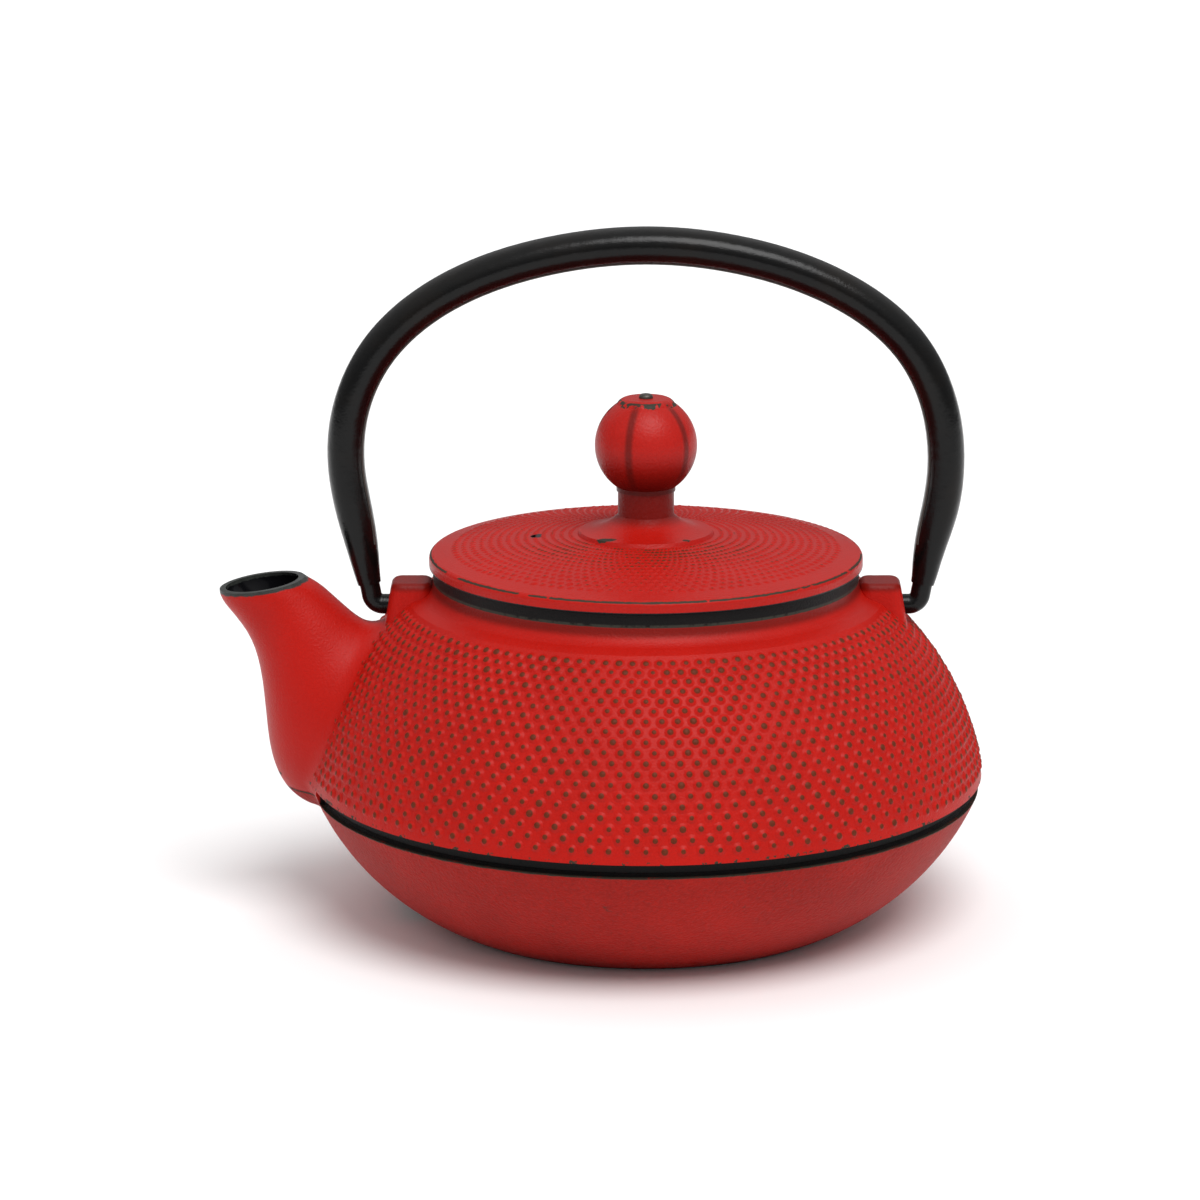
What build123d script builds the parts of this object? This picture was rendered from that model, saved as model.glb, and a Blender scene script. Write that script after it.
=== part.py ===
"""Cast-iron teapot with a bail handle, a riveted lid knob and a lift-out infuser basket.

Millimetres, +Z up.  The origin is the centre of the flat base, the spout points to -X,
and the handle arch stands in the XZ plane.
"""
import os
from math import cos, hypot, pi, radians, sin, sqrt

from build123d import *

os.makedirs("parts", exist_ok=True)

# ---- Driving dimensions ------------------------------------------------------------
# Pot body
belly_radius = 72.6      # widest radius
belly_height = 30.4
foot_radius = 43.6       # flat base
rim_height = 76.7        # top of the mouth collar
wall = 2.8
floor_thickness = 3.4
groove_height = 28.4     # lower edge of the parting groove
groove_width = 2.9
groove_depth = 2.3       # in from the belly
groove_stop = 14.5       # degrees each side of the spout left without a groove
bowl_bulge = 0.101       # arc height as a share of its chord, lower bowl
shell_bulge = 0.095      # the same for the upper shell
# Mouth
collar_radius = 45.6
shoulder_step = 4.9      # collar to the start of the shoulder, radially
shoulder_drop = 7.4      # rim to the start of the shoulder
cove_height = 2.4        # plain collar between the cove and the rim
cove_foot_step = 2.6
cove_foot_rise = 1.0
cove_hollow = 0.16       # cove depth as a share of its chord
groove_slope = 0.8
ledge_thickness = 2.4
mouth_radius = 42.2
ledge_radius = 38.3
ledge_drop = 1.7
# Spout
spout_wall = 2.5
spout_lip_wall = 1.3
spout_root_fillet = 5.0
# Lugs and handle
lug_reach = 10.4         # lug's outer face beyond the collar
lug_width = 13.0
lug_length = 12.0        # along the handle's axis, at the shoulder
lug_crown_length = 8.6
lug_crown_drop = 3.3     # rim to the lug's flat top
lug_crown_lean = 1.6
lug_crown_round = 1.4
lug_corner = 2.5
lug_flare = 0.6
lug_root_depth = 9.0
pivot_drop = 8.7         # rim to the handle's axis
pin_radius = 2.15
pin_clearance = 0.06
pin_depth = 7.0
pin_end_gap = 0.4
pin_gap = 0.3            # lug's outer face to the upright part of the pin
pin_bend = 2.5
pin_shank = 10.0         # pin's axis to the top of its shank
handle_end_gap = 4.6     # pin's axis to the end of the handle tube
handle_rise = 77.7       # pin's axis to the centre line of the handle's crown
handle_belly = 5.35      # how far the arch bows out past the pins, each side
handle_thickness = 7.9
handle_width = 9.6
handle_end_wall = 0.35   # tube round the pin, at the tube's end
handle_taper = 19.0      # length of each tapered end
handle_lean = 0.18       # how far the ends lean outward, per unit of height
handle_wall = 1.2
# Lid
lid_overlap = 0.8        # lid rim beyond the collar
lid_edge_height = 2.7
lid_edge_round = 1.1
lid_dome_rise = 3.8
lid_dome_bulge = 0.02
lid_plate = 2.8
lid_gap = 0.3            # lid underside above the pot's rim
lid_skirt_depth = 6.0
lid_skirt_wall = 2.4
lid_skirt_clearance = 0.9
flange_radius = 14.6
flange_rise = 4.3
flange_hollow = 0.1
flange_edge = 0.8
stem_radius = 6.0
stem_height = 5.2
vent_radius = 1.5
vent_reach = 23.1
# Knob
knob_radius = 10.9
knob_wall = 1.4
knob_seat_radius = 6.3
knob_lobes = 5
lobe_groove_radius = 0.75
knob_seat_height = 0.9
cap_radius = 6.2
cap_thickness = 1.2
cap_crown_radius = 4.7
rivet_radius = 1.2
rivet_clearance = 0.15
rivet_head_radius = 3.0
rivet_head_height = 1.2
nub_radius = 1.5         # peened end above the cap
nub_height = 0.9
washer_radius = 6.0
washer_thickness = 1.0
washer_land_margin = 0.8  # flat land on the lid's underside, beyond the washer
# Infuser
infuser_clearance = 0.9  # basket collar inside the ledge
basket_height = 50.0
basket_sheet = 0.5
mesh_thickness = 0.4
basket_collar_height = 9.0
base_ring_height = 3.5
base_ring_foot = 3.0
mesh_lap = 6.0           # mesh wall inside the basket's collar
curl_clearance = 0.6

# ---- Places that follow from them ---------------------------------------------------
lip_height = groove_height + groove_width
groove_floor = belly_radius - groove_depth
shoulder_radius = collar_radius + shoulder_step
shoulder_height = rim_height - shoulder_drop
ledge_height = rim_height - ledge_drop
lug_face = collar_radius + lug_reach
lug_crown = rim_height - lug_crown_drop
pivot_height = rim_height - pivot_drop
lid_base = rim_height + lid_gap
lid_edge_top = lid_base + lid_edge_height
lid_radius = collar_radius + lid_overlap
dome_top = lid_edge_top + lid_dome_rise
stem_foot = dome_top + flange_rise
stem_top = stem_foot + stem_height
basket_radius = ledge_radius - infuser_clearance
mesh_radius = basket_radius - basket_sheet
skirt_radius = mesh_radius - mesh_thickness - lid_skirt_clearance
knob_foot = stem_top + knob_seat_height
knob_centre = knob_foot + sqrt(knob_radius**2 - knob_seat_radius**2)
cap_base = knob_centre + sqrt(knob_radius**2 - cap_radius**2)
basket_floor = lid_base - basket_height
curl_radius = (lid_base - ledge_height) / 2
curl_centre_radius = mouth_radius - curl_clearance - curl_radius
rivet_hole = rivet_radius + rivet_clearance
plate_under = dome_top - lid_plate
pin_upright = lug_face + pin_gap + pin_radius
handle_half_span = pin_upright + handle_belly
handle_end_width = 2 * (pin_radius + handle_end_wall)


def bulged(start, end, share):
    """Arc between two points, bulging outward by a share of its chord."""
    chord = hypot(end[0] - start[0], end[1] - start[1])
    return SagittaArc(start, end, -share * chord)


# ---- Pot: body, spout and two lugs in one iron casting --------------------------------
# Each row is one oval ring of the spout, from its root to its lip: its middle's reach past
# the belly, its height as a share of the rim height, its tilt in degrees, and its half
# length and half width.
spout_rings = [
    (-18.6, 0.541, 78, 19.9, 19.0),
    (-8.6, 0.561, 72, 20.5, 16.8),
    (-3.6, 0.599, 65, 20.1, 14.9),
    (-1.0, 0.654, 59, 17.8, 13.5),
    (0.4, 0.722, 52, 14.5, 12.1),
    (2.2, 0.806, 41, 11.0, 10.6),
    (5.3, 0.879, 28, 9.4, 9.5),
    (7.8, 0.915, 17, 9.5, 9.4),
    (9.7, 0.949, 8, 9.2, 9.2),
]


def oval_face(plane, half_length, half_width):
    """An oval face on a plane, its long axis along the plane's X."""
    with BuildSketch(plane) as oval:
        Ellipse(half_length, half_width)
    return oval.sketch.face()


def spout_ovals(root_inset, lip_inset):
    """The spout's oval rings as faces, each drawn in by an inset that changes near the lip."""
    ovals = []
    for index, (reach, height_share, tilt, half_length, half_width) in enumerate(spout_rings):
        along = (index / (len(spout_rings) - 1)) ** 4
        inset = root_inset + (lip_inset - root_inset) * along
        across = Vector(cos(radians(tilt)), 0, sin(radians(tilt)))
        middle = (-belly_radius - reach, 0, height_share * rim_height)
        ring = Plane(origin=middle, x_dir=across, z_dir=across.cross(Vector(0, -1, 0)))
        ovals.append(oval_face(ring, half_length - inset, half_width - inset))
    return ovals


def lug_block(side):
    """One lug as a tapered block standing on the shoulder, side -1 at the spout."""
    foot = Plane.XY.offset(shoulder_height - lug_root_depth)
    crown = Plane.XY.offset(lug_crown)
    with BuildPart(mode=Mode.PRIVATE) as lug:
        with BuildSketch(foot):
            with Locations((side * (lug_face + lug_flare - lug_length / 2 - lug_flare / 2), 0)):
                RectangleRounded(lug_length + lug_flare, lug_width + 2 * lug_flare, lug_corner)
        with BuildSketch(crown):
            with Locations((side * (lug_face - lug_crown_lean - lug_crown_length / 2), 0)):
                RectangleRounded(lug_crown_length, lug_width - 2 * lug_crown_lean, lug_corner)
        loft()
        fillet(lug.edges().group_by(Axis.Z)[-1], lug_crown_round)
    return lug.part


with BuildPart() as spout_outside:
    loft(sections=spout_ovals(0, 0))

with BuildPart() as pot_casting:
    # Outside: flat base, lower bowl, upper shell, cove and collar.
    with BuildSketch(Plane.XZ):
        with BuildLine():
            cove_foot = (shoulder_radius - cove_foot_step, shoulder_height + cove_foot_rise)
            cove_top = (collar_radius, rim_height - cove_height)
            Polyline((0, rim_height), (0, 0), (foot_radius, 0))
            bulged((foot_radius, 0), (belly_radius, belly_height), bowl_bulge)
            bulged((belly_radius, belly_height), (shoulder_radius, shoulder_height), shell_bulge)
            Line((shoulder_radius, shoulder_height), cove_foot)
            bulged(cove_foot, cove_top, -cove_hollow)
            Polyline(cove_top, (collar_radius, rim_height), (0, rim_height))
        make_face()
    revolve(axis=Axis.Z)
    plain_body = pot_casting.part
    add(spout_outside.part)
    fillet(new_edges(plain_body, spout_outside.part, combined=pot_casting.part), spout_root_fillet)
    for side in (-1, 1):
        add(lug_block(side))
    # Parting groove round the belly, stopping short of the spout on each side.
    groove_start = radians(180 + groove_stop)
    start_dir = (cos(groove_start), sin(groove_start), 0)
    with BuildSketch(Plane(origin=(0, 0, 0), x_dir=start_dir, z_dir=(start_dir[1], -start_dir[0], 0))):
        with BuildLine():
            Polyline(
                (belly_radius + groove_depth, groove_height),
                (groove_floor + groove_slope, groove_height),
                (groove_floor, groove_height + groove_slope),
                (groove_floor, lip_height),
                (belly_radius + groove_depth, lip_height),
                close=True,
            )
        make_face()
    revolve(axis=Axis.Z, revolution_arc=360 - 2 * groove_stop, mode=Mode.SUBTRACT)
    # Inside: one cavity with a ledge for the basket below the mouth.
    with BuildSketch(Plane.XZ):
        with BuildLine():
            cavity_foot = (foot_radius - wall, floor_thickness)
            cavity_belly = (groove_floor - wall, lip_height)
            cavity_top = (shoulder_radius - wall, shoulder_height - wall)
            Polyline((0, rim_height), (0, floor_thickness), cavity_foot)
            bulged(cavity_foot, cavity_belly, bowl_bulge)
            bulged(cavity_belly, cavity_top, shell_bulge)
            Polyline(
                cavity_top,
                (ledge_radius, ledge_height - ledge_thickness),
                (ledge_radius, ledge_height),
                (mouth_radius, ledge_height),
                (mouth_radius, rim_height),
                (0, rim_height),
            )
        make_face()
    revolve(axis=Axis.Z, mode=Mode.SUBTRACT)
    loft(sections=spout_ovals(spout_wall, spout_lip_wall), mode=Mode.SUBTRACT)
    # Blind holes for the handle's pins, in from the lugs' outer faces.
    for side in (-1, 1):
        with Locations(Plane(origin=(side * (lug_face + lug_flare), 0, pivot_height), z_dir=(side, 0, 0))):
            Cylinder(
                pin_radius + pin_clearance,
                pin_depth + pin_end_gap + lug_flare,
                align=(Align.CENTER, Align.CENTER, Align.MAX),
                mode=Mode.SUBTRACT,
            )
pot_casting.part.label = "pot_casting"
export_step(pot_casting.part, "parts/pot_casting.step")


# ---- Handle: hollow bail with a solid pin in each end ------------------------------------
handle_end = (pin_upright + handle_lean * handle_end_gap, pivot_height + handle_end_gap)
shank_top = (pin_upright + handle_lean * pin_shank, pivot_height + pin_shank)
# Shares of the half span and of the rise from the pins' axis, from one side to the crown.
arch_shares = [(0.995, 0.318), (1.0, 0.435), (0.955, 0.611), (0.828, 0.770), (0.561, 0.909)]
arch_side = [(x * handle_half_span, pivot_height + z * handle_rise) for x, z in arch_shares]
crown = (0, pivot_height + handle_rise)
far_side = [(-x, z) for x, z in reversed(arch_side)]

with BuildLine(Plane.XZ) as arch:
    foot_line = Line(handle_end, shank_top)
    Spline(
        shank_top,
        *arch_side,
        crown,
        *far_side,
        (-shank_top[0], shank_top[1]),
        tangents=[(handle_lean, 1), (handle_lean, -1)],
    )
    Line((-shank_top[0], shank_top[1]), (-handle_end[0], handle_end[1]))


def handle_ovals(crown_inset, end_inset):
    """Oval rings along the arch, full size between its tapered ends."""
    path = arch.wire()
    ovals = []
    shares = [0, 0.02, 0.045, 0.075, 0.11, 0.16, 0.23, 0.32, 0.41]
    for share in shares + [0.5] + [1 - share for share in reversed(shares)]:
        from_end = min(share, 1 - share) * path.length
        full = sin(pi / 2 * min(1, from_end / handle_taper))
        thickness = handle_end_width + (handle_thickness - handle_end_width) * full
        width = handle_end_width + (handle_width - handle_end_width) * full
        inset = crown_inset * full + end_inset * (1 - full)
        ring = Plane(origin=path @ share, x_dir=(0, 1, 0), z_dir=path % share)
        ovals.append(oval_face(ring, width / 2 - inset, thickness / 2 - inset))
    return ovals


with BuildPart() as handle_tube:
    loft(sections=handle_ovals(0, 0))
    loft(sections=handle_ovals(handle_wall, handle_end_wall), mode=Mode.SUBTRACT)
handle_tube.part.label = "handle_tube"
export_step(handle_tube.part, "parts/handle_tube.step")

for side, name in ((-1, "handle_pin_spout_side"), (1, "handle_pin_far_side")):
    with BuildPart() as handle_pin:
        with BuildLine(Plane.XZ) as bent_wire:
            FilletPolyline(
                (side * (lug_face - pin_depth), pivot_height),
                (side * pin_upright, pivot_height),
                (side * shank_top[0], shank_top[1]),
                radius=pin_bend,
            )
        with BuildSketch(Plane(origin=bent_wire.wire() @ 0, z_dir=bent_wire.wire() % 0)):
            Circle(pin_radius)
        sweep(path=bent_wire.wire())
    handle_pin.part.label = name
    export_step(handle_pin.part, f"parts/{name}.step")


# ---- Lid: one casting with rim, dome, flange, stem and locating skirt -----------------------
with BuildPart() as lid_casting:
    with BuildSketch(Plane.XZ):
        with BuildLine():
            edge_inner = (lid_radius - lid_edge_round, lid_edge_top)
            edge_outer = (lid_radius, lid_edge_top - lid_edge_round)
            flange_foot = (flange_radius, dome_top)
            stem_corner = (stem_radius, stem_foot)
            skirt_inner = skirt_radius - lid_skirt_wall
            skirt_root = (skirt_inner, lid_base + lid_edge_height - lid_plate / 2)
            flange_top = (flange_radius - flange_edge / 2, dome_top + flange_edge)
            Polyline((rivet_hole, plate_under), (rivet_hole, stem_top), (stem_radius, stem_top), stem_corner)
            bulged(flange_top, stem_corner, -flange_hollow)
            Line(flange_foot, flange_top)
            bulged(edge_inner, flange_foot, lid_dome_bulge)
            bulged(edge_outer, edge_inner, 0.2)
            Polyline(
                edge_outer,
                (lid_radius, lid_base),
                (skirt_radius, lid_base),
                (skirt_radius, lid_base - lid_skirt_depth),
                (skirt_inner, lid_base - lid_skirt_depth),
                skirt_root,
            )
            washer_land = (washer_radius + washer_land_margin, plate_under)
            bulged(skirt_root, washer_land, lid_dome_bulge)
            Line(washer_land, (rivet_hole, plate_under))
        make_face()
    revolve(axis=Axis.Z)
    with Locations((-vent_reach, 0, lid_base)):
        Cylinder(vent_radius, stem_height + lid_plate + lid_dome_rise, mode=Mode.SUBTRACT)
lid_casting.part.label = "lid_casting"
export_step(lid_casting.part, "parts/lid_casting.step")


# ---- Knob: hollow lobed ball, cap, rivet and washer ------------------------------------------
with BuildPart() as lid_knob:
    with BuildSketch(Plane.XZ):
        with BuildLine():
            ball_foot = (knob_seat_radius, knob_foot)
            Polyline(
                (cap_radius, cap_base),
                (rivet_hole, cap_base),
                (rivet_hole, stem_top),
                (knob_seat_radius, stem_top),
                ball_foot,
            )
            ThreePointArc(ball_foot, (knob_radius, knob_centre), (cap_radius, cap_base))
        make_face()
    revolve(axis=Axis.Z)
    with BuildSketch(Plane.XZ):
        with BuildLine():
            hollow_radius = knob_radius - knob_wall
            hollow_top = cap_base - knob_wall
            hollow_foot = stem_top + knob_wall
            top_reach = sqrt(hollow_radius**2 - (hollow_top - knob_centre) ** 2)
            foot_reach = sqrt(hollow_radius**2 - (hollow_foot - knob_centre) ** 2)
            Polyline((top_reach, hollow_top), (0, hollow_top), (0, hollow_foot), (foot_reach, hollow_foot))
            ThreePointArc((foot_reach, hollow_foot), (hollow_radius, knob_centre), (top_reach, hollow_top))
        make_face()
    revolve(axis=Axis.Z, mode=Mode.SUBTRACT)
    for lobe in range(knob_lobes):
        turn = 360 * (lobe + 0.5) / knob_lobes
        with Locations(Location((0, 0, knob_centre), (90, 0, turn))):
            Torus(
                knob_radius + lobe_groove_radius / 2,
                lobe_groove_radius,
                major_angle=180,
                rotation=(0, 0, -90),
                mode=Mode.SUBTRACT,
            )
lid_knob.part.label = "lid_knob"
export_step(lid_knob.part, "parts/lid_knob.step")

with BuildPart() as knob_cap:
    with BuildSketch(Plane.XZ):
        with BuildLine():
            cap_edge = (cap_radius, cap_base)
            cap_crown = (cap_crown_radius, cap_base + cap_thickness)
            Polyline(cap_crown, (rivet_hole, cap_base + cap_thickness), (rivet_hole, cap_base), cap_edge)
            bulged(cap_edge, cap_crown, 0.1)
        make_face()
    revolve(axis=Axis.Z)
knob_cap.part.label = "knob_cap"
export_step(knob_cap.part, "parts/knob_cap.step")

with BuildPart() as rivet_washer:
    with BuildSketch(Plane.XY.offset(plate_under)):
        Circle(washer_radius)
        Circle(rivet_hole, mode=Mode.SUBTRACT)
    extrude(amount=-washer_thickness)
rivet_washer.part.label = "rivet_washer"
export_step(rivet_washer.part, "parts/rivet_washer.step")

with BuildPart() as knob_rivet:
    head_top = plate_under - washer_thickness
    cap_top = cap_base + cap_thickness
    with BuildSketch(Plane.XY.offset(head_top)):
        Circle(rivet_radius)
    extrude(amount=cap_top - head_top)
    with BuildSketch(Plane.XY.offset(head_top)):
        Circle(rivet_head_radius)
    extrude(amount=-rivet_head_height)
    with BuildSketch(Plane.XY.offset(cap_top)):
        Circle(nub_radius)
    extrude(amount=nub_height)
    fillet(knob_rivet.edges().group_by(Axis.Z)[-1], nub_radius / 2)
    fillet(knob_rivet.edges().group_by(Axis.Z)[0], rivet_head_height / 2)
knob_rivet.part.label = "knob_rivet"
export_step(knob_rivet.part, "parts/knob_rivet.step")


# ---- Infuser: rolled rim, mesh wall, mesh floor and base ring ---------------------------------
with BuildPart() as infuser_rim:
    with BuildSketch(Plane.XZ):
        with BuildLine():
            Polyline(
                (mesh_radius, lid_base - basket_collar_height),
                (basket_radius, lid_base - basket_collar_height),
                (basket_radius, lid_base - basket_sheet),
                (curl_centre_radius, lid_base - basket_sheet),
                (curl_centre_radius, lid_base),
                (mesh_radius, lid_base),
                close=True,
            )
        make_face()
        with Locations((curl_centre_radius, lid_base - curl_radius)):
            Circle(curl_radius)
    revolve(axis=Axis.Z)
infuser_rim.part.label = "infuser_rim"
export_step(infuser_rim.part, "parts/infuser_rim.step")


def ring(inner, outer, bottom, top):
    """A plain ring about the kettle's axis, or a disc when inner is 0."""
    with BuildPart() as made:
        with BuildSketch(Plane.XY.offset(bottom)):
            Circle(outer)
            if inner:
                Circle(inner, mode=Mode.SUBTRACT)
        extrude(amount=top - bottom)
    return made.part


with BuildPart() as infuser_wall:
    wall_top = lid_base - basket_collar_height + mesh_lap
    add(ring(mesh_radius - mesh_thickness, mesh_radius, basket_floor + basket_sheet, wall_top))
infuser_wall.part.label = "infuser_wall"
export_step(infuser_wall.part, "parts/infuser_wall.step")

with BuildPart() as infuser_floor:
    floor_base = basket_floor + basket_sheet
    add(ring(0, mesh_radius - mesh_thickness, floor_base, floor_base + mesh_thickness))
infuser_floor.part.label = "infuser_floor"
export_step(infuser_floor.part, "parts/infuser_floor.step")

with BuildPart() as infuser_base_ring:
    add(ring(mesh_radius, basket_radius, basket_floor, basket_floor + base_ring_height))
    add(ring(basket_radius - base_ring_foot, basket_radius, basket_floor, basket_floor + basket_sheet))
infuser_base_ring.part.label = "infuser_base_ring"
export_step(infuser_base_ring.part, "parts/infuser_base_ring.step")
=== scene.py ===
import math

import bpy
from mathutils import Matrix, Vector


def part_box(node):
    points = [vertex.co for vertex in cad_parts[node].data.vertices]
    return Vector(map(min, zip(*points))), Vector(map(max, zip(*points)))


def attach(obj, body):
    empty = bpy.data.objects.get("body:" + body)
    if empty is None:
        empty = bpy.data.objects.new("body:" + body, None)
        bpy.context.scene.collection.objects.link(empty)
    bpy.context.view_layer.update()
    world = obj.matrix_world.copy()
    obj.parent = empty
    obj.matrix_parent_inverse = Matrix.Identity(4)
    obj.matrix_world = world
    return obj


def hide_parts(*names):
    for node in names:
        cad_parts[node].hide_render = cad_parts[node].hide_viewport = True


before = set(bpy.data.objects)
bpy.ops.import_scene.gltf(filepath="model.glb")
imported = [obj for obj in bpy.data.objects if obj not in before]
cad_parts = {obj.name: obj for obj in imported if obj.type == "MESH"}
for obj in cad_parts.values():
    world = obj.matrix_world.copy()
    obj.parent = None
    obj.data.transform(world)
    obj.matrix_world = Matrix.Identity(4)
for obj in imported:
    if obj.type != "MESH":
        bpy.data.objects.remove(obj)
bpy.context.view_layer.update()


# ---- Pot -------------------------------------------------------------------------
# One iron casting: bowl, shell, spout and two lugs. The outside is brushed with red
# paint over black iron and rubbed back on its edges. The inside is black enamel.


def put(tree, kind, joins=None, **settings):
    """Adds a node, sets its properties, and joins or fills its inputs by name or place."""
    node = tree.nodes.new(kind)
    for name, value in settings.items():
        setattr(node, name, value)
    for place, value in (joins or {}).items():
        if isinstance(value, bpy.types.NodeSocket):
            tree.links.new(value, node.inputs[place])
        else:
            node.inputs[place].default_value = value
    return node


def sum_of(tree, operation, *values):
    """One arithmetic step on numbers or sockets."""
    return put(tree, "ShaderNodeMath", dict(enumerate(values)), operation=operation).outputs[0]


def rise(tree, value, low, high):
    """A soft step from 0 at low to 1 at high."""
    joins = {"Value": value, "From Min": low, "From Max": high}
    return put(tree, "ShaderNodeMapRange", joins, interpolation_type="SMOOTHSTEP").outputs[0]


def band(tree, value, low, high, soft):
    """1 between low and high, with soft edges."""
    return sum_of(
        tree,
        "MULTIPLY",
        rise(tree, value, low - soft, low + soft),
        rise(tree, value, high + soft, high - soft),
    )


def tint(tree, amount, under, over):
    """Colour over laid on colour under by an amount from 0 to 1."""
    node = put(tree, "ShaderNodeMix", {0: amount}, data_type="RGBA")
    for place, colour in ((6, under), (7, over)):
        if isinstance(colour, bpy.types.NodeSocket):
            tree.links.new(colour, node.inputs[place])
        else:
            node.inputs[place].default_value = (*colour, 1)
    return node.outputs[2]


def mixed(tree, amount, under, over):
    """A number between under and over by an amount from 0 to 1."""
    return put(tree, "ShaderNodeMix", {0: amount, 2: under, 3: over}).outputs[0]


def grain(tree, where, size, detail=3.0, rough=0.55):
    """Cloudy noise from 0 to 1 whose lumps are about size millimetres."""
    joins = {"Vector": where, "Scale": 1 / size, "Detail": detail, "Roughness": rough}
    return put(tree, "ShaderNodeTexNoise", joins).outputs[0]


def new_group(name, inputs, outputs):
    """An empty shader node group with named sockets."""
    group = bpy.data.node_groups.new(name, "ShaderNodeTree")
    for label, kind, value in inputs:
        socket = group.interface.new_socket(name=label, in_out="INPUT", socket_type=kind)
        socket.default_value = value
    for label, kind in outputs:
        group.interface.new_socket(name=label, in_out="OUTPUT", socket_type=kind)
    return group, group.nodes.new("NodeGroupInput"), group.nodes.new("NodeGroupOutput")


def use(tree, group, joins=None):
    """Places a shader node group in a tree."""
    node = tree.nodes.new("ShaderNodeGroup")
    node.node_tree = group
    for place, value in (joins or {}).items():
        if isinstance(value, bpy.types.NodeSocket):
            tree.links.new(value, node.inputs[place])
        else:
            node.inputs[place].default_value = value
    return node


def new_material(name):
    """A material with one Principled shader, and the tree that feeds it."""
    material = bpy.data.materials.new(name)
    material.use_nodes = True
    return material, material.node_tree, material.node_tree.nodes["Principled BSDF"]


def finish_shader(tree, shader, colour, roughness, height, depth, metallic=0.0):
    """Joins colour, roughness and a bump of the given depth in millimetres to the shader."""
    bump = put(tree, "ShaderNodeBump", {"Height": height, "Distance": depth / 1000, "Strength": 1.0})
    tree.links.new(colour, shader.inputs["Base Color"])
    tree.links.new(roughness, shader.inputs["Roughness"])
    tree.links.new(bump.outputs[0], shader.inputs["Normal"])
    if isinstance(metallic, bpy.types.NodeSocket):
        tree.links.new(metallic, shader.inputs["Metallic"])
    else:
        shader.inputs["Metallic"].default_value = metallic


# Where a point is, in millimetres: along each axis and out from the pot's own axis.
place_group, _, place_out = new_group(
    "place",
    [],
    [("Point", "NodeSocketVector")] + [(n, "NodeSocketFloat") for n in ("X", "Y", "Z", "Out")],
)
coords = put(place_group, "ShaderNodeTexCoord")
in_mm = put(
    place_group,
    "ShaderNodeVectorMath",
    {0: coords.outputs["Object"], "Scale": 1000.0},
    operation="SCALE",
)
axes = put(place_group, "ShaderNodeSeparateXYZ", {0: in_mm.outputs[0]})
flat = put(place_group, "ShaderNodeVectorMath", {0: in_mm.outputs[0], 1: (1, 1, 0)}, operation="MULTIPLY")
out_from_axis = put(place_group, "ShaderNodeVectorMath", {0: flat.outputs[0]}, operation="LENGTH")
for label, socket in (
    ("Point", in_mm.outputs[0]),
    ("X", axes.outputs[0]),
    ("Y", axes.outputs[1]),
    ("Z", axes.outputs[2]),
    ("Out", out_from_axis.outputs["Value"]),
):
    place_group.links.new(socket, place_out.inputs[label])

# Red paint brushed on black iron: mottled, grained, and rubbed through where Rub is high.
paint_group, paint_in, paint_out = new_group(
    "rubbed_paint",
    [
        ("Paint", "NodeSocketColor", (0.60, 0.010, 0.006, 1)),
        ("Iron", "NodeSocketColor", (0.035, 0.028, 0.018, 1)),
        ("Rub", "NodeSocketFloat", 0.0),
        ("Mottle", "NodeSocketFloat", 0.2),
        ("Grain Size", "NodeSocketFloat", 0.5),
    ],
    [("Color", "NodeSocketColor"), ("Worn", "NodeSocketFloat"), ("Grain", "NodeSocketFloat")],
)
here = use(paint_group, place_group)
broad = grain(paint_group, here.outputs["Point"], 22.0, 2.0)
patchy = grain(paint_group, here.outputs["Point"], 3.0, 4.0, 0.6)
fine_size = sum_of(paint_group, "DIVIDE", 1.0, paint_in.outputs["Grain Size"])
fine = put(
    paint_group,
    "ShaderNodeTexNoise",
    {"Vector": here.outputs["Point"], "Scale": fine_size, "Detail": 3.0, "Roughness": 0.6},
).outputs[0]
bite = sum_of(
    paint_group,
    "ADD",
    sum_of(paint_group, "MULTIPLY", patchy, 0.7),
    sum_of(paint_group, "MULTIPLY", fine, 0.5),
)
worn = rise(paint_group, sum_of(paint_group, "SUBTRACT", paint_in.outputs["Rub"], bite), -0.12, 0.12)
shade = sum_of(
    paint_group,
    "ADD",
    1.0,
    sum_of(
        paint_group,
        "MULTIPLY",
        sum_of(paint_group, "SUBTRACT", sum_of(paint_group, "ADD", broad, fine), 1.0),
        paint_in.outputs["Mottle"],
    ),
)
shaded = put(
    paint_group,
    "ShaderNodeVectorMath",
    {0: paint_in.outputs["Paint"], "Scale": shade},
    operation="SCALE",
)
painted = tint(paint_group, worn, shaded.outputs[0], paint_in.outputs["Iron"])
paint_group.links.new(painted, paint_out.inputs["Color"])
paint_group.links.new(worn, paint_out.inputs["Worn"])
paint_group.links.new(fine, paint_out.inputs["Grain"])


def height_curve(tree, z, points):
    """A smooth curve of widths against heights, both in millimetres up to 100."""
    curve_node = put(tree, "ShaderNodeFloatCurve", {1: sum_of(tree, "DIVIDE", z, 100.0)})
    curve = curve_node.mapping.curves[0]
    while len(curve.points) < len(points):
        curve.points.new(0.5, 0.5)
    for point, (height, width) in zip(curve.points, points):
        point.location = (height / 100, width / 100)
        point.handle_type = "VECTOR"
    curve_node.mapping.update()
    return sum_of(tree, "MULTIPLY", curve_node.outputs[0], 100.0)


red = (0.44, 0.007, 0.003)
bowl_red = (0.33, 0.007, 0.003)
# A darker red painted as shade: in the cove under the collar and on the lid's stem.
painted_shade_red = (0.20, 0.006, 0.003)
bare_iron = (0.035, 0.030, 0.020)
black_enamel = (0.004, 0.004, 0.005)
lip_black = (0.004, 0.004, 0.004)

pot_paint, tree, shader = new_material("pot_paint")
at = use(tree, place_group)
x, y, z, out = (at.outputs[n] for n in ("X", "Y", "Z", "Out"))

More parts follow.
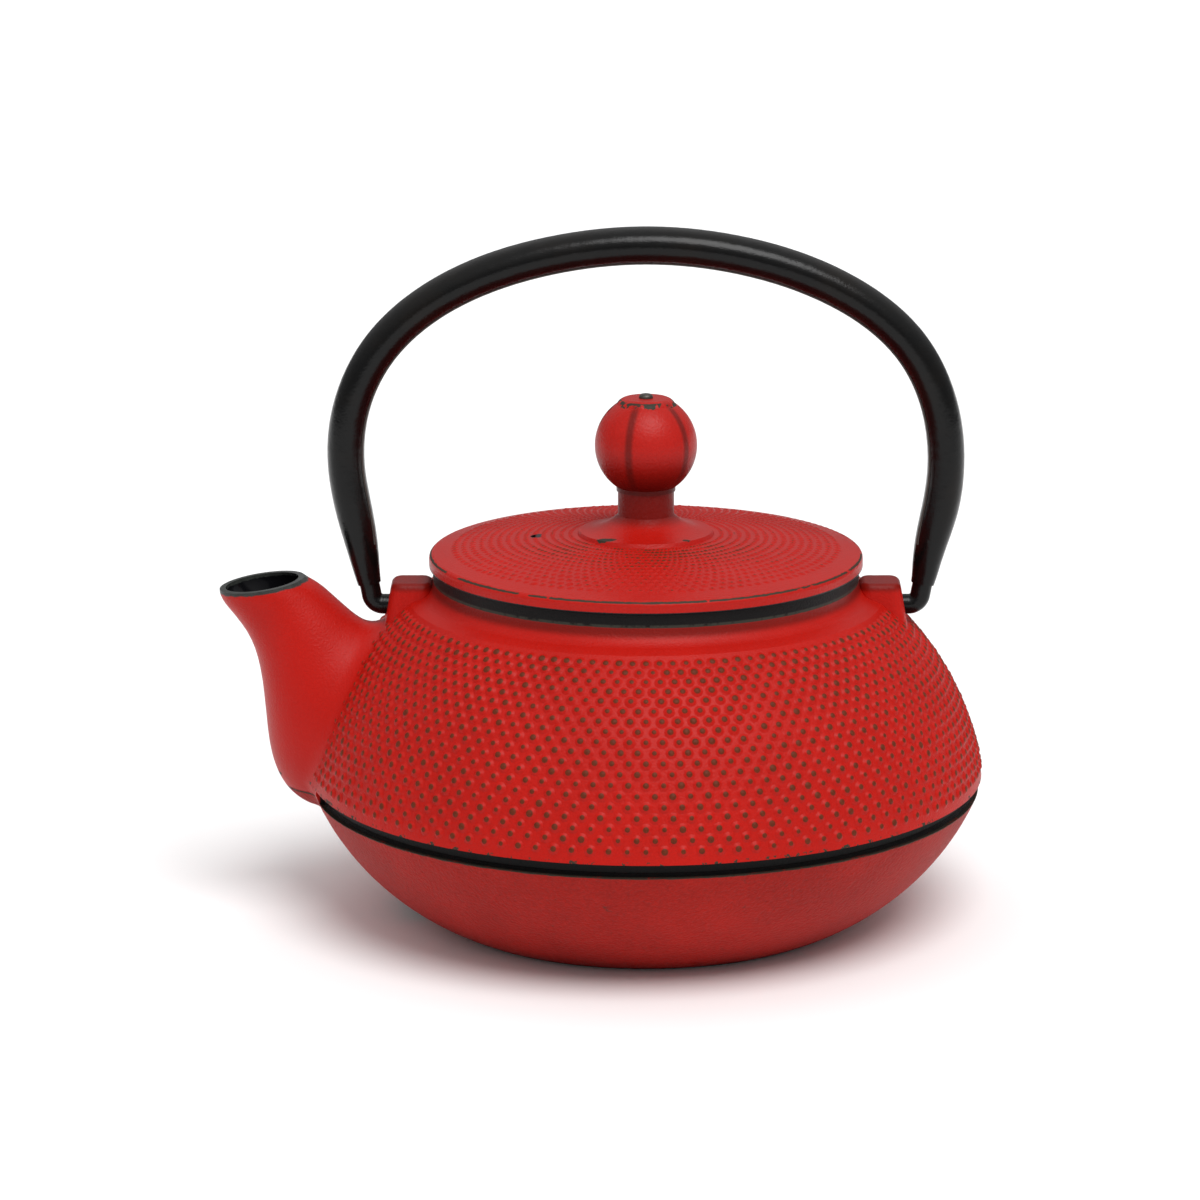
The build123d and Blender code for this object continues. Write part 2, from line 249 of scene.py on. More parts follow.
# Inside: nearer the axis than the middle of the wall, or facing the spout's own axis.
wall_middle = height_curve(
    tree,
    z,
    [(0, 0), (1.7, 0), (1.9, 44), (10, 56), (20, 65), (28.4, 69), (31.3, 69.4), (40, 68.6),
     (50, 64.6), (60, 58), (66.5, 50.6), (69.3, 47), (71.5, 43.9), (76.7, 43.9), (100, 43.9)],
)
in_body = rise(tree, sum_of(tree, "SUBTRACT", wall_middle, out), -0.2, 0.2)
spout_line = height_curve(
    tree,
    z,
    [(0, 54), (41.5, 54), (43.3, 63.9), (46.3, 68.7), (50.2, 71.6), (55.4, 73), (61.8, 74.8),
     (67.4, 77.9), (70.2, 80.4), (72.8, 82.3), (100, 90)],
)
from_line = put(tree, "ShaderNodeCombineXYZ", {0: sum_of(tree, "ADD", x, spout_line), 1: y})
own_normal = put(tree, "ShaderNodeTexCoord").outputs["Normal"]
facing = put(
    tree, "ShaderNodeVectorMath", {0: own_normal, 1: from_line.outputs[0]}, operation="DOT_PRODUCT"
).outputs["Value"]
off_line = put(tree, "ShaderNodeVectorMath", {0: from_line.outputs[0]}, operation="LENGTH").outputs["Value"]
in_spout = sum_of(
    tree,
    "MULTIPLY",
    rise(tree, facing, 0.3, -0.3),
    sum_of(tree, "MULTIPLY", rise(tree, x, -45, -46), rise(tree, off_line, 11.8, 11.2)),
)
inside = sum_of(tree, "MAXIMUM", in_body, in_spout)

# The spout's lip is rubbed to dark iron in a narrow ring.
lip_tilt = math.radians(8)
above_lip = sum_of(
    tree,
    "ADD",
    sum_of(tree, "MULTIPLY", sum_of(tree, "ADD", x, 82.3), -math.sin(lip_tilt)),
    sum_of(tree, "MULTIPLY", sum_of(tree, "SUBTRACT", z, 72.8), math.cos(lip_tilt)),
)
ragged = grain(tree, at.outputs["Point"], 1.6, 3.0)
lip_edge = sum_of(tree, "ADD", above_lip, sum_of(tree, "MULTIPLY", ragged, 0.9))
lip_ring = sum_of(tree, "MULTIPLY", rise(tree, lip_edge, -0.45, -0.15), rise(tree, x, -60, -62))

# The parting groove is left black, with a thin rubbed edge under it and chips above it.
groove = sum_of(
    tree, "MULTIPLY", band(tree, z, 28.45, 31.35, 0.1), rise(tree, out, 71.9, 71.5)
)
under_groove = band(tree, sum_of(tree, "ADD", z, sum_of(tree, "MULTIPLY", ragged, 0.5)), 28.35, 28.9, 0.15)
chipped = sum_of(
    tree,
    "MULTIPLY",
    band(tree, z, 31.0, 32.0, 0.2),
    rise(tree, grain(tree, at.outputs["Point"], 2.2, 4.0, 0.7), 0.53, 0.60),
)
# The collar that the lid stands over is black, with a painted highlight along its lower corner: the paint
# there is rubbed to iron and greyed.
collar = sum_of(
    tree,
    "MULTIPLY",
    rise(tree, sum_of(tree, "ADD", z, sum_of(tree, "MULTIPLY", ragged, 0.5)), 74.2, 74.4),
    rise(tree, out, 60, 59),
)
collar_corner = sum_of(tree, "MULTIPLY", band(tree, z, 73.9, 74.5, 0.15), rise(tree, out, 60, 59))
# Lug faces and the front corners of the lugs.
beside = sum_of(tree, "ABSOLUTE", x)
lug_face = sum_of(
    tree,
    "MULTIPLY",
    band(tree, sum_of(tree, "ADD", beside, sum_of(tree, "MULTIPLY", ragged, 0.8)), 56.1, 57.6, 0.2),
    sum_of(tree, "MULTIPLY", rise(tree, sum_of(tree, "ABSOLUTE", y), 8, 7), rise(tree, z, 62, 66)),
)
# Painted shade: the red in the cove under the collar is darkened where the lid's shadow falls.
cove_painted_shade = sum_of(tree, "MULTIPLY", band(tree, z, 72.0, 74.2, 0.7), rise(tree, out, 60, 59))
bowl = rise(tree, z, 29.0, 28.2)
underside = rise(tree, z, 0.5, 0.25)

rub = sum_of(tree, "MULTIPLY", bowl, 0.36)
# The collar corner is rubbed here for its painted highlight; the other masks are wear.
for mask, amount in ((under_groove, 0.75), (chipped, 0.95), (collar_corner, 0.9), (lug_face, 0.75)):
    rub = sum_of(tree, "MAXIMUM", rub, sum_of(tree, "MULTIPLY", mask, amount))
coat = use(
    tree,
    paint_group,
    {
        "Paint": tint(tree, cove_painted_shade, tint(tree, bowl, red, bowl_red), painted_shade_red),
        "Iron": (*bare_iron, 1),
        "Rub": rub,
        "Mottle": mixed(tree, bowl, 0.25, 0.7),
        "Grain Size": mixed(tree, bowl, 0.45, 0.8),
    },
)
colour = coat.outputs["Color"]
blackened = sum_of(tree, "MAXIMUM", groove, sum_of(tree, "MAXIMUM", collar, underside))
colour = tint(tree, blackened, colour, lip_black)
# Painted highlight: a grey line along the collar's lower corner.
painted_highlight_edge = sum_of(tree, "MULTIPLY", collar_corner, rise(tree, ragged, 0.3, 0.5))
colour = tint(tree, painted_highlight_edge, colour, (0.035, 0.036, 0.028))
colour = tint(tree, inside, colour, black_enamel)
colour = tint(tree, lip_ring, colour, tint(tree, ragged, (0.012, 0.013, 0.012), (0.055, 0.060, 0.055)))
roughness = mixed(tree, bowl, 0.40, 0.55)
roughness = mixed(tree, coat.outputs["Worn"], roughness, 0.6)
roughness = mixed(tree, blackened, roughness, 0.5)
roughness = mixed(tree, inside, roughness, 0.16)
outside_height = sum_of(tree, "MULTIPLY", coat.outputs["Grain"], mixed(tree, bowl, 0.35, 1.0))
cast_height = mixed(tree, inside, outside_height, 0.0)
finish_shader(tree, shader, colour, roughness, cast_height, 0.35)
shader.inputs["Specular IOR Level"].default_value = 0.16
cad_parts["pot_casting"].data.materials.clear()
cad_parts["pot_casting"].data.materials.append(pot_paint)


# ---- Raised dots on the shell ----------------------------------------------------------
# Staggered rings of small bumps cast with the shell. Their tips are rubbed back to iron,
# and they stop short of the spout, the lugs and the plain bands above and below.
dot_paint, tree, shader = new_material("dot_paint")
tip = put(tree, "ShaderNodeAttribute", attribute_name="tip").outputs["Fac"]
own_wear = put(tree, "ShaderNodeAttribute", attribute_name="wear").outputs["Fac"]
at = use(tree, place_group)
patch = grain(tree, at.outputs["Point"], 14.0, 2.0)
uneven = sum_of(tree, "MULTIPLY", sum_of(tree, "SUBTRACT", sum_of(tree, "ADD", own_wear, patch), 1.0), 0.22)
scoured = sum_of(
    tree,
    "MULTIPLY",
    sum_of(tree, "MULTIPLY", rise(tree, at.outputs["Out"], 36, 20), rise(tree, at.outputs["Y"], -4, -14)),
    rise(tree, grain(tree, at.outputs["Point"], 5.0), 0.35, 0.6),
)
on_lid = sum_of(
    tree,
    "MULTIPLY",
    rise(tree, at.outputs["Z"], 75, 76),
    sum_of(tree, "SUBTRACT", 0.30, sum_of(tree, "MULTIPLY", scoured, 0.6)),
)
rubbed_tip = rise(tree, sum_of(tree, "SUBTRACT", sum_of(tree, "ADD", tip, uneven), on_lid), 0.58, 0.80)
speck = grain(tree, at.outputs["Point"], 0.5, 2.0)
coat = use(tree, paint_group, {"Paint": (*red, 1), "Rub": 0.0, "Mottle": 0.25, "Grain Size": 0.45})
tip_iron = tint(tree, speck, (0.024, 0.008, 0.002), (0.120, 0.036, 0.009))
colour = tint(tree, sum_of(tree, "MULTIPLY", rubbed_tip, 0.88), coat.outputs["Color"], tip_iron)
finish_shader(tree, shader, colour, mixed(tree, rubbed_tip, 0.40, 0.5), coat.outputs["Grain"], 0.1)
shader.inputs["Specular IOR Level"].default_value = 0.16


def dot_mesh(tree, sides, steps):
    """A low round bump of unit width and height, closed below, with its height as tip."""
    post = put(
        tree,
        "GeometryNodeMeshCylinder",
        {"Vertices": sides, "Side Segments": steps, "Radius": 1.0, "Depth": 1.0},
        fill_type="NGON",
    )
    spot = put(tree, "ShaderNodeSeparateXYZ", {0: put(tree, "GeometryNodeInputPosition").outputs[0]})
    up = sum_of(tree, "ADD", spot.outputs[2], 0.5)
    round_off = sum_of(tree, "SUBTRACT", 1.0, sum_of(tree, "MULTIPLY", up, 0.75))
    place = put(
        tree,
        "ShaderNodeCombineXYZ",
        {
            0: sum_of(tree, "MULTIPLY", spot.outputs[0], round_off),
            1: sum_of(tree, "MULTIPLY", spot.outputs[1], round_off),
            2: rise(tree, up, 0.0, 1.0),
        },
    )
    marked = put(
        tree,
        "GeometryNodeStoreNamedAttribute",
        {"Geometry": post.outputs["Mesh"], "Name": "tip", "Value": up},
        data_type="FLOAT",
        domain="POINT",
    )
    rim_only = sum_of(tree, "LESS_THAN", up, 0.01)
    crisp_edges = {0: marked.outputs[0], 1: rim_only, 2: False}
    crisp = put(tree, "GeometryNodeSetShadeSmooth", crisp_edges, domain="EDGE")
    return put(
        tree, "GeometryNodeSetPosition", {"Geometry": crisp.outputs[0], "Position": place.outputs[0]}
    ).outputs[0]


def tree_inputs(tree, sockets):
    """Gives a Geometry Nodes tree its named inputs and one output, and returns its two ends."""
    for label, kind in sockets:
        tree.interface.new_socket(name=label, in_out="INPUT", socket_type=kind)
    tree.interface.new_socket(name="Geometry", in_out="OUTPUT", socket_type="NodeSocketGeometry")
    return tree.nodes.new("NodeGroupInput").outputs, tree.nodes.new("NodeGroupOutput").inputs


def ray_on_casting(tree, casting, start, direction, reach):
    """Where a ray meets the casting."""
    return put(
        tree,
        "GeometryNodeRaycast",
        {
            "Target Geometry": casting,
            "Source Position": start,
            "Ray Direction": direction,
            "Ray Length": reach,
        },
        data_type="FLOAT",
    )


def grown_piece(name, tree, values):
    """Runs a Geometry Nodes tree once and keeps its result as a plain mesh piece."""
    seed_mesh = bpy.data.meshes.new(name)
    piece = bpy.data.objects.new(name, seed_mesh)
    bpy.context.scene.collection.objects.link(piece)
    grower = piece.modifiers.new("grow", "NODES")
    grower.node_group = tree
    for item in tree.interface.items_tree:
        if item.item_type == "SOCKET" and item.in_out == "INPUT" and item.name in values:
            grower[item.identifier] = values[item.name]
    depsgraph = bpy.context.evaluated_depsgraph_get()
    grown = bpy.data.meshes.new_from_object(
        piece.evaluated_get(depsgraph), preserve_all_data_layers=True, depsgraph=depsgraph
    )
    grown.name = name
    piece.modifiers.remove(grower)
    piece.data = grown
    bpy.data.meshes.remove(seed_mesh)
    return piece


shell_dots_tree = bpy.data.node_groups.new("shell_dots", "GeometryNodeTree")
tree = shell_dots_tree
given, result = tree_inputs(
    tree,
    [
        ("Casting", "NodeSocketObject"),
        ("Rows", "NodeSocketInt"),
        ("Around", "NodeSocketInt"),
        ("Arc Out", "NodeSocketFloat"),
        ("Arc Up", "NodeSocketFloat"),
        ("Arc Radius", "NodeSocketFloat"),
        ("First Angle", "NodeSocketFloat"),
        ("Angle Step", "NodeSocketFloat"),
        ("Dot Width", "NodeSocketFloat"),
        ("Dot Height", "NodeSocketFloat"),
        ("Seed", "NodeSocketInt"),
        ("Paint", "NodeSocketMaterial"),
    ],
)
index = put(tree, "GeometryNodeInputIndex").outputs[0]
row = sum_of(tree, "FLOOR", sum_of(tree, "DIVIDE", sum_of(tree, "ADD", index, 0.5), given["Around"]))
column = sum_of(tree, "SUBTRACT", index, sum_of(tree, "MULTIPLY", row, given["Around"]))
stagger = sum_of(tree, "MULTIPLY", sum_of(tree, "MODULO", row, 2.0), 0.5)
turn = sum_of(
    tree,
    "MULTIPLY",
    sum_of(tree, "DIVIDE", sum_of(tree, "ADD", column, stagger), given["Around"]),
    2 * math.pi,
)
climb = sum_of(tree, "ADD", given["First Angle"], sum_of(tree, "MULTIPLY", row, given["Angle Step"]))


def on_shell(turn_offset, stand_off):
    """A point over the shell's arc at this row and column, and the way it faces."""
    turned = sum_of(tree, "ADD", turn, turn_offset)
    level = sum_of(tree, "COSINE", climb)
    faces = put(
        tree,
        "ShaderNodeCombineXYZ",
        {
            0: sum_of(tree, "MULTIPLY", level, sum_of(tree, "COSINE", turned)),
            1: sum_of(tree, "MULTIPLY", level, sum_of(tree, "SINE", turned)),
            2: sum_of(tree, "SINE", climb),
        },
    ).outputs[0]
    arc = sum_of(tree, "ADD", given["Arc Radius"], stand_off)
    reach = sum_of(tree, "ADD", given["Arc Out"], sum_of(tree, "MULTIPLY", level, arc))
    point = put(
        tree,
        "ShaderNodeCombineXYZ",
        {
            0: sum_of(tree, "MULTIPLY", reach, sum_of(tree, "COSINE", turned)),
            1: sum_of(tree, "MULTIPLY", reach, sum_of(tree, "SINE", turned)),
            2: sum_of(
                tree, "ADD", given["Arc Up"], sum_of(tree, "MULTIPLY", sum_of(tree, "SINE", climb), arc)
            ),
        },
    ).outputs[0]
    return point, faces


casting = put(
    tree, "GeometryNodeObjectInfo", {"Object": given["Casting"]}, transform_space="ORIGINAL"
).outputs["Geometry"]
stand_off = 0.012
plain_shell = []
hits = []
for turn_offset in (0.0, math.radians(2.6), math.radians(-2.6)):
    point, faces = on_shell(turn_offset, stand_off)
    inward = put(tree, "ShaderNodeVectorMath", {0: faces, "Scale": -1.0}, operation="SCALE").outputs[0]
    ray = ray_on_casting(tree, casting, point, inward, 0.02)
    off = sum_of(tree, "ABSOLUTE", sum_of(tree, "SUBTRACT", ray.outputs["Hit Distance"], stand_off))
    near_shell = sum_of(tree, "LESS_THAN", off, 0.00035)
    plain_shell.append(sum_of(tree, "MULTIPLY", ray.outputs["Is Hit"], near_shell))
    hits.append((ray, faces))
hit, faces = hits[0]
full = sum_of(tree, "MULTIPLY", plain_shell[1], plain_shell[2])
points = put(
    tree,
    "GeometryNodePoints",
    {
        "Count": sum_of(tree, "MULTIPLY", given["Rows"], given["Around"]),
        "Position": hit.outputs["Hit Position"],
    },
)
grade = put(
    tree,
    "GeometryNodeStoreNamedAttribute",
    {
        "Geometry": points.outputs[0],
        "Name": "wear",
        "Value": put(tree, "FunctionNodeRandomValue", {"Seed": given["Seed"]}, data_type="FLOAT").outputs[1],
    },
    data_type="FLOAT",
    domain="POINT",
)
size_pick = put(
    tree,
    "FunctionNodeRandomValue",
    {2: 0.88, 3: 1.1, "Seed": sum_of(tree, "ADD", given["Seed"], 1.0)},
    data_type="FLOAT",
).outputs[1]
strength = sum_of(tree, "MULTIPLY", size_pick, sum_of(tree, "ADD", 0.6, sum_of(tree, "MULTIPLY", full, 0.4)))
half_width = sum_of(tree, "MULTIPLY", sum_of(tree, "MULTIPLY", given["Dot Width"], 0.5), strength)
tall = sum_of(tree, "MULTIPLY", given["Dot Height"], strength)
scale = put(tree, "ShaderNodeCombineXYZ", {0: half_width, 1: half_width, 2: tall}).outputs[0]
turned_out = put(tree, "FunctionNodeAlignRotationToVector", {"Vector": faces}, axis="Z").outputs[0]
placed = put(
    tree,
    "GeometryNodeInstanceOnPoints",
    {
        "Points": grade.outputs[0],
        "Selection": plain_shell[0],
        "Instance": dot_mesh(tree, 10, 3),
        "Rotation": turned_out,
        "Scale": scale,
    },
).outputs[0]
solid = put(tree, "GeometryNodeRealizeInstances", {0: placed}).outputs[0]
smooth = put(tree, "GeometryNodeSetShadeSmooth", {0: solid}).outputs[0]
coated = put(tree, "GeometryNodeSetMaterial", {"Geometry": smooth, "Material": given["Paint"]}).outputs[0]
tree.links.new(coated, result["Geometry"])

shell_dots = grown_piece(
    "shell_dots",
    shell_dots_tree,
    {
        "Casting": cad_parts["pot_casting"],
        "Rows": 19,
        "Around": 120,
        "Arc Out": 0.01366,
        "Arc Up": 0.0225,
        "Arc Radius": 0.05933,
        "First Angle": math.radians(11.2),
        "Angle Step": math.radians(2.14),
        "Dot Width": 0.0025,
        "Dot Height": 0.00055,
        "Seed": 7,
        "Paint": dot_paint,
    },
)
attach(shell_dots, "pot")


# ---- Infuser basket ------------------------------------------------------------------------
# A stainless tea basket that hangs by its rolled rim on the ledge in the mouth. The rim and
# the foot ring are plain pressed steel, and the wall and floor are finely punched sheet.
def steel(name, colour, roughness, streak):
    """Brushed stainless steel with faint streaks round the axis."""
    material, tree, shader = new_material(name)
    at = use(tree, place_group)
    stretched = put(
        tree,
        "ShaderNodeVectorMath",
        {0: at.outputs["Point"], 1: (0.25, 0.25, 6.0)},
        operation="MULTIPLY",
    ).outputs[0]
    streaks = put(tree, "ShaderNodeTexNoise", {"Vector": stretched, "Scale": 1.0, "Detail": 4.0}).outputs[0]
    darker = [c * (1 - streak) for c in colour]
    shade = tint(tree, streaks, darker, colour)
    finish_shader(tree, shader, shade, mixed(tree, streaks, roughness, roughness + 0.12), streaks, 0.01, 1.0)
    return material


def dress(node, material):
    """Gives a CAD solid its material."""
    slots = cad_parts[node].data.materials
    slots.clear()
    slots.append(material)


basket_steel = steel("basket_steel", (0.62, 0.61, 0.59), 0.24, 0.25)
basket_mesh = steel("basket_mesh", (0.55, 0.54, 0.52), 0.32, 0.2)
dress("infuser_rim", basket_steel)
dress("infuser_base_ring", basket_steel)


def short_diagonals(tree, sheet):
    """Cuts a sheared grid into near equal triangles, and turns them into six-sided cells."""
    threes = put(
        tree, "GeometryNodeTriangulate", {"Mesh": sheet}, quad_method="SHORTEST_DIAGONAL"
    ).outputs[0]
    return put(tree, "GeometryNodeDualMesh", {"Mesh": threes}).outputs[0]


def punch(tree, cells, selection, share):
    """Punches a hole of the given share in each chosen cell of a sheet."""
    pushed = put(
        tree,
        "GeometryNodeExtrudeMesh",
        {"Mesh": cells, "Selection": selection, "Offset Scale": 0.0, "Individual": True},
        mode="FACES",
    )
    shrunk = put(
        tree,
        "GeometryNodeScaleElements",
        {"Geometry": pushed.outputs["Mesh"], "Selection": pushed.outputs["Top"], "Scale": share},
        domain="FACE",
    ).outputs[0]
    return put(
        tree,
        "GeometryNodeDeleteGeometry",
        {"Geometry": shrunk, "Selection": pushed.outputs["Top"]},
        domain="FACE",
    ).outputs[0]


wall_tree = bpy.data.node_groups.new("punched_wall", "GeometryNodeTree")
tree = wall_tree
given, result = tree_inputs(
    tree,
    [
        ("Radius", "NodeSocketFloat"),
        ("Foot", "NodeSocketFloat"),
        ("Height", "NodeSocketFloat"),
        ("Around", "NodeSocketInt"),
        ("Rows", "NodeSocketInt"),
        ("Hole Share", "NodeSocketFloat"),
        ("Metal", "NodeSocketMaterial"),
    ],
)
tube = put(
    tree,
    "GeometryNodeMeshCylinder",
    {
        "Vertices": given["Around"],
        "Side Segments": given["Rows"],
        "Radius": given["Radius"],
        "Depth": given["Height"],
    },
    fill_type="NONE",
).outputs["Mesh"]
spot = put(tree, "GeometryNodeInputPosition").outputs[0]
level = put(tree, "ShaderNodeSeparateXYZ", {0: spot}).outputs[2]
share_up = sum_of(tree, "ADD", sum_of(tree, "DIVIDE", level, given["Height"]), 0.5)
ring = sum_of(tree, "ROUND", sum_of(tree, "MULTIPLY", share_up, given["Rows"]))
half_pitch = sum_of(tree, "DIVIDE", math.pi, given["Around"])
twist = sum_of(tree, "MULTIPLY", sum_of(tree, "MODULO", ring, 2.0), half_pitch)
turned = put(
    tree, "ShaderNodeVectorRotate", {"Vector": spot, "Angle": twist}, rotation_type="Z_AXIS"
).outputs[0]
lift = put(
    tree,
    "ShaderNodeCombineXYZ",
    {2: sum_of(tree, "ADD", given["Foot"], sum_of(tree, "MULTIPLY", given["Height"], 0.5))},
).outputs[0]
staggered = put(
    tree, "GeometryNodeSetPosition", {"Geometry": tube, "Position": turned, "Offset": lift}
).outputs[0]
cells = short_diagonals(tree, staggered)
punched = punch(tree, cells, True, given["Hole Share"])
solid = put(tree, "GeometryNodeRealizeInstances", {0: punched}).outputs[0]
tree.links.new(
    put(tree, "GeometryNodeSetMaterial", {"Geometry": solid, "Material": given["Metal"]}).outputs[0],
    result["Geometry"],
)

wall_low, wall_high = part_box("infuser_wall")
sheet = 0.0004
wall_around = 124
basket_wall = grown_piece(
    "basket_wall",
    wall_tree,
    {
        "Radius": wall_high.x - sheet / 2,
        "Foot": wall_low.z,
        "Height": wall_high.z - wall_low.z,
        "Around": wall_around,
        "Rows": 28,
        "Hole Share": 0.62,
        "Metal": basket_mesh,
    },
)


def thicken(piece, thickness):
    """Gives a sheet its real thickness, half to each side."""
    wall = piece.modifiers.new("thickness", "SOLIDIFY")
    wall.thickness = thickness
    wall.offset = 0
    wall.use_even_offset = False


thicken(basket_wall, sheet)
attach(basket_wall, "infuser")
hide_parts("infuser_wall")

floor_tree = bpy.data.node_groups.new("punched_floor", "GeometryNodeTree")
tree = floor_tree
given, result = tree_inputs(
    tree,
    [
        ("Radius", "NodeSocketFloat"),
        ("Height", "NodeSocketFloat"),
        ("Pitch", "NodeSocketFloat"),
        ("Hole Share", "NodeSocketFloat"),
        ("Metal", "NodeSocketMaterial"),
    ],
)
across = sum_of(tree, "MULTIPLY", given["Radius"], 2.2)
row_pitch = sum_of(tree, "MULTIPLY", given["Pitch"], math.sqrt(3) / 2)
columns = sum_of(tree, "CEIL", sum_of(tree, "DIVIDE", across, given["Pitch"]))
rows = sum_of(tree, "CEIL", sum_of(tree, "DIVIDE", across, row_pitch))
grid = put(
    tree,
    "GeometryNodeMeshGrid",
    {
        "Size X": sum_of(tree, "MULTIPLY", columns, given["Pitch"]),
        "Size Y": sum_of(tree, "MULTIPLY", rows, row_pitch),
        "Vertices X": sum_of(tree, "ADD", columns, 1.0),
        "Vertices Y": sum_of(tree, "ADD", rows, 1.0),
    },
).outputs["Mesh"]
spot = put(tree, "GeometryNodeInputPosition").outputs[0]
parts = put(tree, "ShaderNodeSeparateXYZ", {0: spot})
row_count = sum_of(tree, "ROUND", sum_of(tree, "DIVIDE", parts.outputs[1], row_pitch))
row = sum_of(tree, "FLOORED_MODULO", row_count, 2.0)
half_pitch = sum_of(tree, "MULTIPLY", given["Pitch"], 0.5)
shear = sum_of(tree, "MULTIPLY", sum_of(tree, "GREATER_THAN", row, 0.5), half_pitch)
shift = put(tree, "ShaderNodeCombineXYZ", {0: shear, 2: given["Height"]}).outputs[0]
laid = put(tree, "GeometryNodeSetPosition", {"Geometry": grid, "Offset": shift}).outputs[0]
cells = short_diagonals(tree, laid)
cell_spot = put(tree, "GeometryNodeInputPosition").outputs[0]
level_spot = put(tree, "ShaderNodeVectorMath", {0: cell_spot, 1: (1, 1, 0)}, operation="MULTIPLY").outputs[0]
from_centre = put(tree, "ShaderNodeVectorMath", {0: level_spot}, operation="LENGTH").outputs["Value"]
trimmed = put(
    tree,
    "GeometryNodeDeleteGeometry",
    {"Geometry": cells, "Selection": sum_of(tree, "GREATER_THAN", from_centre, given["Radius"])},
    domain="FACE",
).outputs[0]
punched = punch(tree, trimmed, True, given["Hole Share"])
solid = put(tree, "GeometryNodeRealizeInstances", {0: punched}).outputs[0]
tree.links.new(
    put(tree, "GeometryNodeSetMaterial", {"Geometry": solid, "Material": given["Metal"]}).outputs[0],
    result["Geometry"],
)
floor_low, floor_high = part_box("infuser_floor")
basket_floor = grown_piece(
    "basket_floor",
    floor_tree,
    {
        "Radius": floor_high.x - 0.001,
        "Height": (floor_low.z + floor_high.z) / 2,
        "Pitch": 0.0019,
        "Hole Share": 0.62,
        "Metal": basket_mesh,
    },
)
thicken(basket_floor, sheet)
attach(basket_floor, "infuser")
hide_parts("infuser_floor")


# ---- Lid -------------------------------------------------------------------------------------
# A flat domed iron casting with a stem, painted like the pot. The corner of its rim is
# rubbed to a thin broken dark line, and its underside is black enamel.
lid_paint, tree, shader = new_material("lid_paint")
at = use(tree, place_group)
x, y, z, out = (at.outputs[n] for n in ("X", "Y", "Z", "Out"))
rim_top = 79.7
ragged = grain(tree, at.outputs["Point"], 1.2, 3.0)
broken = rise(tree, grain(tree, at.outputs["Point"], 12.0, 3.0, 0.7), 0.38, 0.44)
ragged_z = sum_of(tree, "ADD", z, sum_of(tree, "MULTIPLY", ragged, 0.25))
rim_line = sum_of(
    tree,
    "MULTIPLY",
    band(tree, ragged_z, rim_top - 0.42, rim_top - 0.04, 0.09),
    sum_of(tree, "MULTIPLY", broken, rise(tree, out, 44.5, 45)),
)
low_chips = sum_of(
    tree,
    "MULTIPLY",
    rise(tree, z, 77.5, 77.1),
    rise(tree, grain(tree, at.outputs["Point"], 1.8, 3.0, 0.7), 0.56, 0.62),
)


def smudge(tree, point, centre, size, rag):
    """A ragged worn spot round a centre, in millimetres."""
    gap = put(tree, "ShaderNodeVectorMath", {0: point, 1: centre}, operation="SUBTRACT").outputs[0]
    shrink = tuple(1 / s for s in size)
    squashed = put(tree, "ShaderNodeVectorMath", {0: gap, 1: shrink}, operation="MULTIPLY").outputs[0]
    reach = put(tree, "ShaderNodeVectorMath", {0: squashed}, operation="LENGTH").outputs["Value"]
    return rise(tree, sum_of(tree, "ADD", reach, sum_of(tree, "MULTIPLY", rag, 0.9)), 1.6, 1.1)


flange_smear = smudge(tree, at.outputs["Point"], (-8.6, -10.4, 84.7), (2.5, 1.5, 1.3), ragged)
flange_chip = smudge(tree, at.outputs["Point"], (8.6, -10.6, 84.6), (0.9, 0.8, 1.1), ragged)
scuffed = sum_of(
    tree,
    "MULTIPLY",
    band(tree, out, 16.5, 30.0, 3.0),
    rise(tree, grain(tree, at.outputs["Point"], 1.1, 3.0, 0.75), 0.56, 0.66),
)
# Painted shade: the stem under the knob is painted a darker red.
stem_painted_shade = sum_of(tree, "MULTIPLY", rise(tree, z, 85.5, 88), rise(tree, out, 9, 7))
rub = sum_of(tree, "MULTIPLY", scuffed, 0.62)
for mask in (rim_line, low_chips, flange_smear, flange_chip):
    rub = sum_of(tree, "MAXIMUM", rub, mask)
coat = use(
    tree,
    paint_group,
    {
        "Paint": tint(tree, stem_painted_shade, red, painted_shade_red),
        "Iron": (*bare_iron, 1),
        "Rub": rub,
        "Mottle": 0.22,
        "Grain Size": 0.5,
    },
)
top_height = height_curve(
    tree,
    out,
    [(0, 81.2), (6, 81.2), (30, 80.4), (38, 79.4), (43, 78.6), (44.5, 77.3), (46, 77.25), (100, 77.25)],
)
vent_reach = 23.1
vent_gap = put(tree, "ShaderNodeCombineXYZ", {0: sum_of(tree, "ADD", x, vent_reach), 1: y}).outputs[0]
from_vent = put(tree, "ShaderNodeVectorMath", {0: vent_gap}, operation="LENGTH").outputs["Value"]
under = rise(tree, sum_of(tree, "SUBTRACT", top_height, z), -0.1, 0.1)
vent_edge = sum_of(tree, "ADD", from_vent, sum_of(tree, "MULTIPLY", ragged, 0.5))
under = sum_of(tree, "MAXIMUM", under, rise(tree, vent_edge, 2.0, 1.8))
colour = tint(tree, under, coat.outputs["Color"], black_enamel)
roughness = mixed(tree, under, mixed(tree, coat.outputs["Worn"], 0.36, 0.6), 0.2)
finish_shader(tree, shader, colour, roughness, sum_of(tree, "MULTIPLY", coat.outputs["Grain"], 0.4), 0.35)
shader.inputs["Specular IOR Level"].default_value = 0.2
dress("lid_casting", lid_paint)

